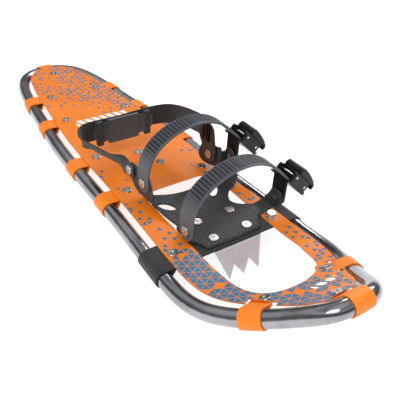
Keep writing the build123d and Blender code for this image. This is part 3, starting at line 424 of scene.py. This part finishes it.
def piece(name, points, faces, slot, body, stood_for, uvs=None):
    """Mesh object from points in drawing millimetres. With no body it is left to be blended."""
    mesh = bpy.data.meshes.new(name)
    mesh.from_pydata(((np.array(points) - ORIGIN) * MM).tolist(), [], faces)
    mesh.validate()
    if uvs is not None:
        layer = mesh.uv_layers.new(name="strap")
        for loop in mesh.loops:
            layer.data[loop.index].uv = uvs[loop.vertex_index]
    obj = bpy.data.objects.new(name, mesh)
    scene.collection.objects.link(obj)
    all_smooth(obj)
    mesh.materials.append(FINISH[slot])
    if body:
        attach(obj, body)
    if stood_for:
        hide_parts(*stood_for)
    return obj


def strap(name, path, outward, side, profile, slot, body, stood_for):
    """Band along a path. profile(distance along) gives a closed list of (across, outward) pairs in mm."""
    path, outward, side = (np.array(a, float) for a in (path, outward, side))
    run = np.concatenate([[0], np.cumsum(np.linalg.norm(np.diff(path, axis=0), axis=1))])
    rings = [profile(r) for r in run]
    count = len(rings[0])
    points, uvs = [], []
    for place, out, across, ring, r in zip(path, outward, side, rings, run):
        for u, h in ring:
            points.append(place + across * u + out * h)
            uvs.append((u * MM, r * MM))
    faces = []
    for i in range(len(path) - 1):
        for j in range(count):
            k = (j + 1) % count
            faces.append((i * count + j, i * count + k, (i + 1) * count + k, (i + 1) * count + j))
    faces.append(tuple(range(count))[::-1])
    faces.append(tuple(range((len(path) - 1) * count, len(path) * count)))
    obj = piece(name, points, faces, slot, body, stood_for, uvs)
    fix_normals(obj)
    return obj


def fix_normals(obj):
    shape = bmesh.new()
    shape.from_mesh(obj.data)
    bmesh.ops.recalc_face_normals(shape, faces=shape.faces)
    shape.to_mesh(obj.data)
    shape.free()


def flat_solid(outline, holes, low, high):
    """Closed prism over an outline with holes, as points and faces."""
    shape = bmesh.new()
    edges = []
    for line in [outline] + holes:
        ring = [shape.verts.new((x, y, low)) for x, y in line]
        edges += [shape.edges.new((a, b)) for a, b in zip(ring, ring[1:] + ring[:1])]
    bmesh.ops.triangle_fill(shape, edges=edges, use_beauty=True)
    raised = bmesh.ops.extrude_face_region(shape, geom=shape.faces[:])
    for item in raised["geom"]:
        if isinstance(item, bmesh.types.BMVert):
            item.co.z = high
    shape.verts.index_update()
    points = [tuple(v.co) for v in shape.verts]
    faces = [tuple(v.index for v in f.verts) for f in shape.faces]
    shape.free()
    return points, faces


def smooth_by_angle(obj, degrees):
    obj.data.set_sharp_from_angle(angle=math.radians(degrees))


# ---------------------------------------------------------------- ladder straps
def turn_about(centre, point, angle):
    d = np.array(point) - centre
    c, s = math.cos(angle), math.sin(angle)
    return centre + np.array([c * d[0] - s * d[1], s * d[0] + c * d[1]])


def loop_radius(name, axis):
    """From a ladder strap's axis out to its middle line."""
    return axis[0] - box_of(f"{name}_ladder_strap")[0][0] - LADDER_HALF_THICK


def loop_line(name, axis):
    """Middle line of a ladder strap seen along Y, as closely spaced (X, Z) points."""
    centre_x, axis_z = axis[0], axis[2]
    radius = loop_radius(name, axis)
    left = centre_x - radius
    straight, side_radius = 12.0, 50.0
    rise, reach = radius - straight, radius - side_radius
    top_radius = (reach ** 2 + rise ** 2 - side_radius ** 2) / (2 * (rise - side_radius))
    side_turn = math.atan2(top_radius - rise, reach)
    points = [(left, axis_z + z) for z in np.arange(-LADDER_HALF_WIDTH, straight, LADDER_STEP)]

    def arc(centre, start, turn):
        length = np.linalg.norm(np.array(start) - centre) * abs(turn)
        steps = int(length / LADDER_STEP)
        return [tuple(turn_about(centre, start, turn * (i + 1) / steps)) for i in range(steps)]

    points.append((left, axis_z + straight))
    points += arc(np.array([left + side_radius, axis_z + straight]), points[-1], -side_turn)
    points += arc(np.array([centre_x, axis_z + radius - top_radius]), points[-1], side_turn - math.pi / 2)
    points += arc(np.array([centre_x, axis_z]), points[-1], -math.pi / 4)
    start = np.array(points[-1])
    down = np.array([1.0, -1.0]) / math.sqrt(2)
    points += [tuple(start + down * r) for r in np.arange(LADDER_STEP, LADDER_RUN + 0.01, LADDER_STEP)]
    return np.array(points)


def ladder_profile(run):
    """Section of the strap: flat inside, low rails at the edges and ribs between them outside."""
    half = LADDER_HALF_WIDTH
    if run < half:
        half = max(math.sqrt(max(half ** 2 - (half - run) ** 2, 0.0)), 0.8)
    depth = min(max((run - RIB_START) / 12.0, 0.0), 1.0)
    phase = ((run - RIB_START) % RIB_PITCH) / RIB_PITCH
    tooth = min(phase / 0.28, 1.0) * min((1.0 - phase) / 0.22, 1.0)
    rib = LADDER_HALF_THICK - depth * 1.15 * (1.0 - tooth)
    rail = LADDER_HALF_THICK - 0.35 * depth
    edge = half - 0.5
    outer = [(-half, 1.0), (-edge, rail), (-half * 0.88, rail), (-half * 0.84, rib), (-half * 0.4, rib), (0, rib),
             (half * 0.4, rib), (half * 0.84, rib), (half * 0.88, rail), (edge, rail), (half, 1.0)]
    under = -LADDER_HALF_THICK
    return outer + [(half, -1.0), (edge, under), (0, under), (-edge, under), (-half, -1.0)]


for end in ("front", "rear"):
    axis = axis_of(f"{end}_loop_swing")
    line = loop_line(end, axis)
    tangent = np.gradient(line, axis=0)
    tangent /= np.linalg.norm(tangent, axis=1)[:, None]
    path = [(x, axis[1], z) for x, z in line]
    outward = [(-tz, 0, tx) for tx, tz in tangent]
    obj = strap(f"{end}_ribbed_strap", path, outward, [(0, 1, 0)] * len(path), ladder_profile, "ladder_plastic",
                f"{end}_loop", [f"{end}_ladder_strap"])
    smooth_by_angle(obj, 28)


# ---------------------------------------------------------------- buckle covers
def lever_cover(name, axis):
    """Ridged thumb cover moulded over the lever's plate, in the buckle's own slope."""
    reach = loop_radius(name, axis)
    down = np.array([1.0, -1.0]) / math.sqrt(2)
    out = np.array([1.0, 1.0]) / math.sqrt(2)
    start = np.array([axis[0], axis[2]]) + out * reach
    section = [(34.5, 13.4), (33.0, 16.0), (35.0, 20.5)]
    for ridge in range(7):
        at, crest = 37.0 + ridge * 4.4, 22.5 - 0.1 * ridge ** 2
        section += [(at, crest), (at + 2.4, crest - 0.2), (at + 3.0, crest - 1.7), (at + 3.9, crest - 1.8)]
    section += [(70.0, 16.5), (73.0, 13.5), (73.0, 8.5), (70.5, 8.5), (69.0, 13.4)]
    points, faces = flat_solid(section, [], -14.2, 14.2)
    turned = []
    for along, normal, side in points:
        spot = start + down * along + out * normal
        turned.append((spot[0], axis[1] - side, spot[1]))
    obj = piece(f"{name}_lever_cover", turned, faces, "buckle_plastic", f"{name}_lever", [])
    fix_normals(obj)
    bevel = obj.modifiers.new("edges", "BEVEL")
    bevel.width = 0.5 * MM
    bevel.segments = 2
    smooth_by_angle(obj, 30)


# ---------------------------------------------------------------- webbing
def web_profile(half, thick, roll=0.5):
    """Flat band with rounded selvedges."""
    t = thick / 2
    ring = [(-half, 0), (-half + roll * 0.4, t), (-half + 2 * roll, t)]
    ring += [(u, t) for u in np.linspace(-half * 0.7, half * 0.7, 7)]
    ring += [(half - 2 * roll, t), (half - roll * 0.4, t), (half, 0), (half - roll * 0.4, -t), (half - 2 * roll, -t)]
    ring += [(u, -t) for u in np.linspace(half * 0.7, -half * 0.7, 7)]
    ring += [(-half + 2 * roll, -t), (-half + roll * 0.4, -t)]
    return lambda run: ring


def smooth_line(points, step):
    """Catmull-Rom line through points, sampled about every step."""
    p = np.array(points, float)
    p = np.vstack([2 * p[0] - p[1], p, 2 * p[-1] - p[-2]])
    out = []
    for a, b, c, d in zip(p, p[1:], p[2:], p[3:]):
        count = max(int(np.linalg.norm(c - b) / step), 1)
        for i in range(count):
            t = i / count
            out.append(0.5 * (2 * b + (c - a) * t + (2 * a - 5 * b + 4 * c - d) * t ** 2
                              + (3 * b - a - 3 * c + d) * t ** 3))
    out.append(p[-2])
    return np.array(out)


def pivot_line(edge_x, side):
    """Webbing from the clamp's middle out over the side tube, round it and back under itself, as (X, Z)."""
    radius = level = PIVOT_LEVEL
    lower = level - 1.5
    points = [(x, level) for x in np.arange(4.0 * side, edge_x, 1.0)]
    points += [(edge_x + radius * math.sin(a), radius * math.cos(a)) for a in np.linspace(0, math.radians(200), 60)]
    points += list(zip(np.linspace(edge_x + radius * math.sin(math.radians(200)), edge_x - 16, 14)[1:],
                       np.linspace(radius * math.cos(math.radians(200)), lower, 14)[1:]))
    points += [(x, lower) for x in np.arange(edge_x - 17, edge_x - 33, -1.0)]
    return smooth_line([(x, z, 0) for x, z in points], 0.8)[:, :2]


def pivot_webbing(name, side, nodes):
    middle_y = sum(corner[1] for corner in box_of("pivot_strap_center")) / 2
    edge_x = box_of("pivot_strap_right")[1][0] - PIVOT_LEVEL - 1.1
    line = pivot_line(edge_x, side)
    tangent = np.gradient(line, axis=0)
    tangent /= np.linalg.norm(tangent, axis=1)[:, None]
    skew = -0.035
    path = [(side * x, middle_y, z) for x, z in line]
    outward = [(-side * tz, 0, tx) for tx, tz in tangent]
    across = [(side * skew * min(max((x - 55) / 20, 0), 1), 1, 0) for x, z in line]
    obj = strap(name, path, outward, across, web_profile(PIVOT_HALF_WIDTH, 1.4), "pivot_webbing", None, nodes)
    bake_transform(obj)
    return obj


for end in ("front", "rear"):
    lever_cover(end, axis_of(f"{end}_loop_swing"))
pivot_webbing("pivot_webbing_right", 1, ["pivot_strap_right", "pivot_strap_center"])
pivot_webbing("pivot_webbing_left", -1, ["pivot_strap_left"])


# ---------------------------------------------------------------- harness
# The moulding is drawn flat, as (across, along) in mm, and then folded up at both sides
HARNESS_OUTLINE = [
    (-37, -12), (-34, -18), (-20, -19), (4, -19.5), (28, -19), (42, -18), (45.5, -12), (50, -3), (58, 1), (68, 0),
    (77, -5), (82, -12), (90, -15), (99, -13), (103, -5), (100, 4), (92, 8), (84, 13), (74, 19), (60, 24), (48, 31),
    (42, 40), (45, 50), (54, 60), (66, 66), (78, 70), (86, 76), (96, 79), (106, 82), (110, 90), (106, 98), (97, 102),
    (88, 107), (76, 112), (62, 108), (46, 98), (26, 91), (4, 88), (-16, 91), (-32, 98), (-44, 106), (-54, 114),
    (-64, 124), (-76, 131), (-86, 127), (-88, 116), (-86, 104), (-89, 93), (-86, 82), (-76, 77), (-64, 72),
    (-53, 66), (-49, 54), (-46, 42), (-44, 31), (-50, 23), (-60, 19), (-67, 11), (-74, 8), (-81, 2), (-82, -6),
    (-76, -14), (-66, -14), (-58, -8), (-50, -2), (-42, -4)]
WINDOW_LEFT = [(-42, 79), (-34, 77), (-28, 69), (-27, 62), (-32, 61), (-40, 68), (-44, 75)]


def fold(points, left_wall, right_wall):
    """Fold flat (across, along, height) points into a tray between two upright walls."""
    across, along, height = points.T
    middle = HARNESS_LOW + HARNESS_THICK / 2
    radius = HARNESS_BEND - HARNESS_THICK / 2
    out = np.empty_like(points)
    for side, wall in ((-1, left_wall), (1, right_wall)):
        start = abs(wall) - HARNESS_BEND
        reach = side * across - start
        turn = np.clip(reach / radius, 0, math.pi / 2)
        beyond = np.maximum(reach - radius * math.pi / 2, 0)
        x = np.where(reach > 0, start + (radius - height) * np.sin(turn), side * across)
        z = np.where(reach > 0, middle + radius - (radius - height) * np.cos(turn) + beyond, middle + height)
        here = side * across >= 0
        out[here] = np.stack([side * x, along, z], axis=1)[here]
    return out


def closed_line(points, step):
    loop = points[-2:] + points + points[:2]
    line = smooth_line([(x, y, 0) for x, y in loop], step)[:, :2]
    first = int(np.argmin(np.linalg.norm(line - np.array(points[0]), axis=1)))
    line = line[first:]
    last = int(np.argmin(np.linalg.norm(line[20:] - np.array(points[0]), axis=1))) + 20
    return [tuple(p) for p in line[:last]]


def even_mesh(obj, voxel, rounds):
    """Even out a closed mesh and round its edges off."""
    bpy.context.view_layer.objects.active = obj
    remesh = obj.modifiers.new("even", "REMESH")
    remesh.mode = "VOXEL"
    remesh.voxel_size = voxel
    bpy.ops.object.modifier_apply(modifier=remesh.name)
    smooth = obj.modifiers.new("soften", "SMOOTH")
    smooth.factor, smooth.iterations = 0.5, rounds
    bpy.ops.object.modifier_apply(modifier=smooth.name)


def nearest(points, line):
    """Distance from each flat point to the nearest point of a line."""
    line = np.array(line)
    out = np.empty(len(points))
    for first in range(0, len(points), 4000):
        part = points[first:first + 4000, None, :] - line[None, :, :]
        out[first:first + 4000] = np.sqrt((part ** 2).sum(axis=2)).min(axis=1)
    return out


def beads(edge):
    """Rows of rounded beads that follow an edge, 0 to 1, from the distance to it."""
    return (0.5 - 0.5 * np.cos(2 * math.pi * edge / BEAD_PITCH)) * np.clip((BEAD_REACH - edge) / 2, 0, 1)


def harness_shell():
    """Foot harness: one folded moulding with beaded edges, a thick toe plate and a raised tread pad."""
    (left, _, _), (right, _, _) = box_of("harness")
    outline = closed_line(HARNESS_OUTLINE, 1.2)
    windows = [closed_line(WINDOW_LEFT, 1.2), closed_line([(-x, y) for x, y in WINDOW_LEFT], 1.2)]
    points, faces = flat_solid(outline, windows, -HARNESS_THICK / 2, HARNESS_THICK / 2)
    obj = piece("harness_shell", points, faces, "harness_rubber", "binding", ["harness"])
    fix_normals(obj)
    even_mesh(obj, 1.1 * MM, 4)
    flat = read_points(obj)
    edge = nearest(flat[:, :2], outline)
    holes = nearest(flat[:, :2], windows[0] + windows[1])
    top = np.clip(flat[:, 2] / (HARNESS_THICK / 2), -1, 1)
    middle = flat[:, 0] - PLATE_MIDDLE_X
    plate = np.clip((30 - flat[:, 1]) / 6, 0, 1) * np.clip((44 - np.abs(middle)) / 4, 0, 1)
    ridge = 0.45 * beads(edge) * np.clip(edge - 0.8, 0, 1) * (1 - plate)
    rim = 0.6 * np.exp(-((edge - 1.9) / 0.9) ** 2) * plate + 0.5 * np.exp(-((holes - 1.8) / 0.9) ** 2)
    tread = 0.8 * np.clip(20.5 - np.abs(middle), 0, 1) * np.clip(18.5 - np.abs(flat[:, 1] - 60), 0, 1)
    flat[:, 2] += top * (ridge + rim) + np.where(top > 0, tread, 0) - np.where(top < -0.2, 2.0 * plate, 0)
    write_points(obj, fold(flat, left, right))
    all_smooth(obj)


def side_plate(name, side, x_low, thick, outer_share, body, stood_for):
    """Upright moulded plate from a (Y, Z) outline, with beads inside and a share of them outside."""
    outline = closed_line(side, 1.2)
    points, faces = flat_solid(outline, [], 0.0, thick)
    obj = piece(name, [(x_low + h, y, z) for y, z, h in points], faces, "harness_rubber", body, stood_for)
    fix_normals(obj)
    even_mesh(obj, 0.9 * MM, 3)
    shape = read_points(obj)
    edge = nearest(shape[:, 1:], outline)
    outer = shape[:, 0] > x_low + thick / 2
    shape[:, 0] += 0.5 * beads(edge) * np.where(outer, outer_share, -1)
    write_points(obj, shape)
    all_smooth(obj)


def heel_mount():
    """Ear that carries the heel strap's right rivet, its step off the wing, and the arm that swings on it."""
    ear = [(98, 27), (110, 22), (124, 18), (138, 17), (146, 24), (143, 36), (136, 48), (122, 52), (108, 53), (98, 54)]
    side_plate("harness_heel_ear", ear, 63.1, 2.5, 1, "binding", [])
    points, faces = flat_solid([(63, 99), (74, 99), (74, 103), (63, 103)], [], 28.0, 48.0)
    step = piece("harness_ear_step", points, faces, "harness_rubber", "binding", [])
    fix_normals(step)
    even_mesh(step, 0.9 * MM, 3)
    all_smooth(step)
    low, high = box_of("heel_connector")
    arm = [(106, 36), (109, 30), (117, 27.5), (125, 31), (133, 42), (143, 57), (147, 71), (141, 81), (126, 83),
           (113, 78), (108, 62), (105, 47)]
    side_plate("heel_arm", arm, low[0], high[0] - low[0], 0, "heel_strap", ["heel_connector"])


harness_shell()
heel_mount()


# ---------------------------------------------------------------- heel strap
HEEL_LINE = [(-56.7, 113.5, 47), (-56.7, 122, 47), (-56.9, 131, 48), (-66, 158, 50), (-77, 184, 52.5), (-82, 200, 54),
             (-80, 211, 55.5), (-70, 216, 56), (-45, 215.5, 56.5), (-23, 214, 57), (5, 213.5, 58.5),
             (28, 211.5, 60), (46, 203, 62.5), (55, 188, 65), (60, 168, 67.5), (63, 148, 69), (63.2, 130, 70)]
def heel_webbing():
    """Webbing round the heel, leaning outward between its rivet and the pad."""
    path = smooth_line(HEEL_LINE, 1.5)
    tangent = np.gradient(path, axis=0)
    tangent[:, 2] = 0
    tangent /= np.linalg.norm(tangent, axis=1)[:, None]
    level = np.cross(tangent, (0, 0, 1))
    run = np.concatenate([[0], np.cumsum(np.linalg.norm(np.diff(path, axis=0), axis=1))])
    rise = np.clip((run - 14) / 26, 0, 1) * np.clip((108 - run) / 24, 0, 1)
    lean = np.radians(LEAN_DEGREES) * (3 * rise ** 2 - 2 * rise ** 3)
    upright = np.array([0, 0, 1.0])
    across = upright * np.cos(lean)[:, None] + level * np.sin(lean)[:, None]
    outward = level * np.cos(lean)[:, None] - upright * np.sin(lean)[:, None]
    lug = web_profile(9.0, 1.8)(0)
    full = web_profile(14.5, 1.8)(0)

    def profile(run):
        share = min(max((run - 12) / 10, 0), 1)
        return [(a[0] * (1 - share) + b[0] * share, a[1]) for a, b in zip(lug, full)]

    strap("heel_strap_webbing", path, outward, across, profile, "webbing", "heel_strap", ["heel_webbing"])


heel_webbing()


def cushion_shape(centre, half):
    """Closed pad with rounded ends, smaller than the finished cushion, as points and faces."""
    rim = []
    radius = half[2] * 0.8
    for x_side, z_side, first in ((1, 1, 0), (-1, 1, 90), (-1, -1, 180), (1, -1, 270)):
        for step in range(7):
            turn = math.radians(first + step * 15)
            rim.append((centre[0] + x_side * (half[0] - radius) + radius * math.cos(turn),
                        centre[2] + z_side * (half[2] - radius) + radius * math.sin(turn)))
    points = [(x, centre[1] + side * half[1], z) for side in (-1, 1) for x, z in rim]
    count = len(rim)
    faces = [tuple(range(count)), tuple(range(2 * count - 1, count - 1, -1))]
    faces += [(i, i + count, (i + 1) % count + count, (i + 1) % count) for i in range(count)]
    return points, faces


def puff(obj, voxel, pressure, cap):
    """Blow a closed mesh up with cloth pressure, holding every point within cap of its start."""
    bpy.context.view_layer.objects.active = obj
    remesh = obj.modifiers.new("even", "REMESH")
    remesh.mode = "VOXEL"
    remesh.voxel_size = voxel
    bpy.ops.object.modifier_apply(modifier=remesh.name)
    start = np.array([v.co for v in obj.data.vertices])
    cloth = obj.modifiers.new("puff", "CLOTH")
    cloth.settings.quality = 6
    cloth.settings.mass = 0.05
    cloth.settings.tension_stiffness = 12
    cloth.settings.compression_stiffness = 12
    cloth.settings.bending_stiffness = 0.4
    cloth.settings.use_pressure = True
    cloth.settings.uniform_pressure_force = pressure
    cloth.settings.effector_weights.gravity = 0
    cloth.collision_settings.use_collision = False
    cloth.point_cache.frame_start = 1
    cloth.point_cache.frame_end = CUSHION_FRAMES
    for step in range(1, CUSHION_FRAMES + 1):
        scene.frame_set(step)
    bpy.ops.object.modifier_apply(modifier=cloth.name)
    scene.frame_set(1)
    moved = np.array([v.co for v in obj.data.vertices]) - start
    length = np.maximum(np.linalg.norm(moved, axis=1), 1e-9)
    capped = start + moved * np.minimum(1, cap / length)[:, None]
    for vertex, spot in zip(obj.data.vertices, capped):
        vertex.co = spot
    smooth = obj.modifiers.new("round", "SUBSURF")
    smooth.levels = smooth.render_levels = 1
    bpy.ops.object.modifier_apply(modifier=smooth.name)
    all_smooth(obj)


def heel_cushion():
    """Foam pad in napped fabric."""
    low, high = box_of("heel_pad")
    centre, half = (low + high) / 2, (high - low) / 2 - np.array([2.0, 1.5, 2.0])
    points, faces = cushion_shape(centre, half)
    obj = piece("heel_cushion", points, faces, "pad_fabric", "heel_strap", ["heel_pad"])
    fix_normals(obj)
    puff(obj, 3 * MM, 4.0, 3.5 * MM)


def pad_sleeve(name, middle_x, half_width, slot, lift):
    """Band of cloth sewn round the cushion."""
    low, high = box_of("heel_pad")
    centre, half = (low + high) / 2, (high - low) / 2 + lift
    turns = np.linspace(0, 2 * math.pi, 49)
    ring = [(math.copysign(abs(math.cos(t)) ** 0.6, math.cos(t)), math.copysign(abs(math.sin(t)) ** 0.25, math.sin(t)))
            for t in turns]
    path = [(middle_x, centre[1] + half[1] * c, centre[2] + half[2] * s) for c, s in ring]
    outward = [(0, math.cos(t), math.sin(t)) for t in turns]
    obj = strap(name, path, outward, [(1, 0, 0)] * len(path), web_profile(half_width, 1.0), slot, "heel_strap", [])
    smooth_by_angle(obj, 60)


heel_cushion()
pad_sleeve("pad_sleeve", -22.0, 22.0, "pad_fabric", 0.1)
pad_sleeve("pad_loop_left", -57.0, 4.0, "webbing", 0.3)
pad_sleeve("pad_loop_right", 14.0, 4.0, "webbing", 0.3)


# ---------------------------------------------------------------- floor, light and camera
def floor():
    low = CAD_BOX[0].z - 0.004
    mesh = bpy.data.meshes.new("floor")
    mesh.from_pydata([(-9, -9, low), (9, -9, low), (9, 9, low), (-9, 9, low)], [], [(0, 1, 2, 3)])
    obj = bpy.data.objects.new("floor", mesh)
    scene.collection.objects.link(obj)
    s = Shader("floor")
    s.set(Base_Color=(0.4, 0.4, 0.4, 1), Roughness=0.9, Specular_IOR_Level=0.1,
          Emission_Color=(1, 1, 1, 1), Emission_Strength=0.76)
    below = s.tree.nodes.new("ShaderNodeNewGeometry").outputs["Backfacing"]
    s.set(Alpha=s.math("SUBTRACT", 1.0, below))
    mesh.materials.append(s.material)


def area_light(name, place, target, size, power):
    data = bpy.data.lights.new(name, "AREA")
    data.shape = "RECTANGLE"
    data.size, data.size_y = size
    data.energy = power
    obj = bpy.data.objects.new(name, data)
    obj.location = place
    obj.rotation_mode = "QUATERNION"
    obj.rotation_quaternion = (Vector(target) - Vector(place)).to_track_quat("-Z", "Y")
    scene.collection.objects.link(obj)


def studio():
    world = bpy.data.worlds.new("studio")
    scene.world = world
    world.use_nodes = True
    tree = world.node_tree
    background = tree.nodes["Background"]
    rays = tree.nodes.new("ShaderNodeLightPath").outputs["Is Glossy Ray"]
    place = tree.nodes.new("ShaderNodeTexCoord").outputs["Generated"]
    height = tree.nodes.new("ShaderNodeSeparateXYZ")
    tree.links.new(place, height.inputs[0])
    grade = tree.nodes.new("ShaderNodeValToRGB")
    for spot, level in ((0.0, 0.45), (0.2, 0.16), (0.45, 0.2), (0.62, 0.85), (0.8, 0.3)):
        element = grade.color_ramp.elements.new(spot)
        element.color = (level, level, level, 1)
    grade.color_ramp.elements[-1].color = (1, 1, 1, 1)
    tree.links.new(height.outputs[2], grade.inputs[0])
    mix = tree.nodes.new("ShaderNodeMix")
    mix.data_type = "RGBA"
    tree.links.new(rays, mix.inputs[0])
    mix.inputs[6].default_value = (1, 1, 1, 1)
    tree.links.new(grade.outputs[0], mix.inputs[7])
    tree.links.new(mix.outputs[2], background.inputs["Color"])
    background.inputs["Strength"].default_value = 0.9
    target = placed(0, 100, 0)
    area_light("key", placed(-1200, -900, 1900), target, (1.2, 0.8), 26)
    area_light("rim", placed(1500, 900, 1300), target, (1.4, 0.5), 16)
    scene.view_settings.view_transform = "Standard"


def camera():
    """Camera at the viewing angle of the reference view, with its roll."""
    azimuth, elevation, roll = (math.radians(v) for v in (-36.637, 36.006, 4.0))
    back = Vector((math.sin(azimuth) * math.cos(elevation), -math.cos(azimuth) * math.cos(elevation),
                   math.sin(elevation)))
    level = Vector((math.cos(azimuth), math.sin(azimuth), 0))
    above = back.cross(level)
    right = level * math.cos(roll) + above * math.sin(roll)
    up = above * math.cos(roll) - level * math.sin(roll)
    data = bpy.data.cameras.new("camera")
    data.sensor_width = 36
    data.lens = 50.22
    obj = bpy.data.objects.new("camera", data)
    turn = Matrix((right, up, back)).transposed().to_4x4()
    obj.matrix_world = Matrix.Translation(placed(-328.5, -391.9, 426.2)) @ turn
    scene.collection.objects.link(obj)
    scene.camera = obj


floor()
studio()
camera()
